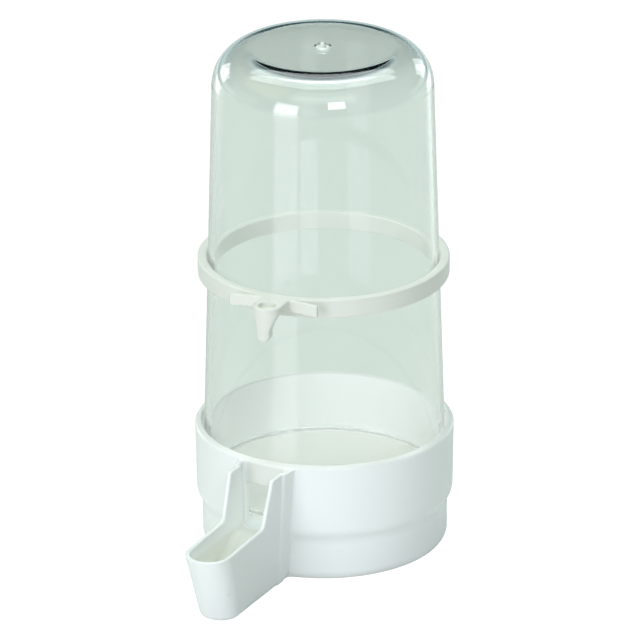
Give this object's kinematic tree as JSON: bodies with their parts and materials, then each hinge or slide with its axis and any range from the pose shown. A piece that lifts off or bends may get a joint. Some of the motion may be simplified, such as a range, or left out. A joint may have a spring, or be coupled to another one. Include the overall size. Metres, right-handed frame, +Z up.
{
  "type": "bird water fountain",
  "caption": "Gravity water fountain for a bird cage: a clear upturned reservoir in a white base with a drinking spout, and a clip-on ring with a hanging hook.",
  "frame": {"origin": "middle of the base's flat underside, on the axis of the cup and the reservoir", "axes": "+Z up along the reservoir's axis, the drinking spout points along -Y, +X to the right when looking at the spout"},
  "size_m": [0.075, 0.116, 0.1523],
  "materials": {
    "base_plastic": "glossy white moulding with a faint cool cast",
    "clear_plastic": "clear, polished, faint green cast",
    "ring_plastic": "satin white moulding"
  },
  "bodies": {
    "drinking_base": {"drinking_base": "base_plastic"},
    "reservoir": {"reservoir": "clear_plastic"},
    "hanging_ring": {"hanging_ring": "ring_plastic"}
  },
  "joints": [
    {"name": "reservoir_lift", "type": "slide", "parent": "drinking_base", "child": "reservoir", "axis": [0, 0, 1], "range_m": [0, 0.05]},
    {"name": "ring_turn", "type": "hinge", "parent": "reservoir", "child": "hanging_ring", "pos_m": [0, 0, 0.0849], "axis": [0, 0, 1], "continuous": true}
  ]
}
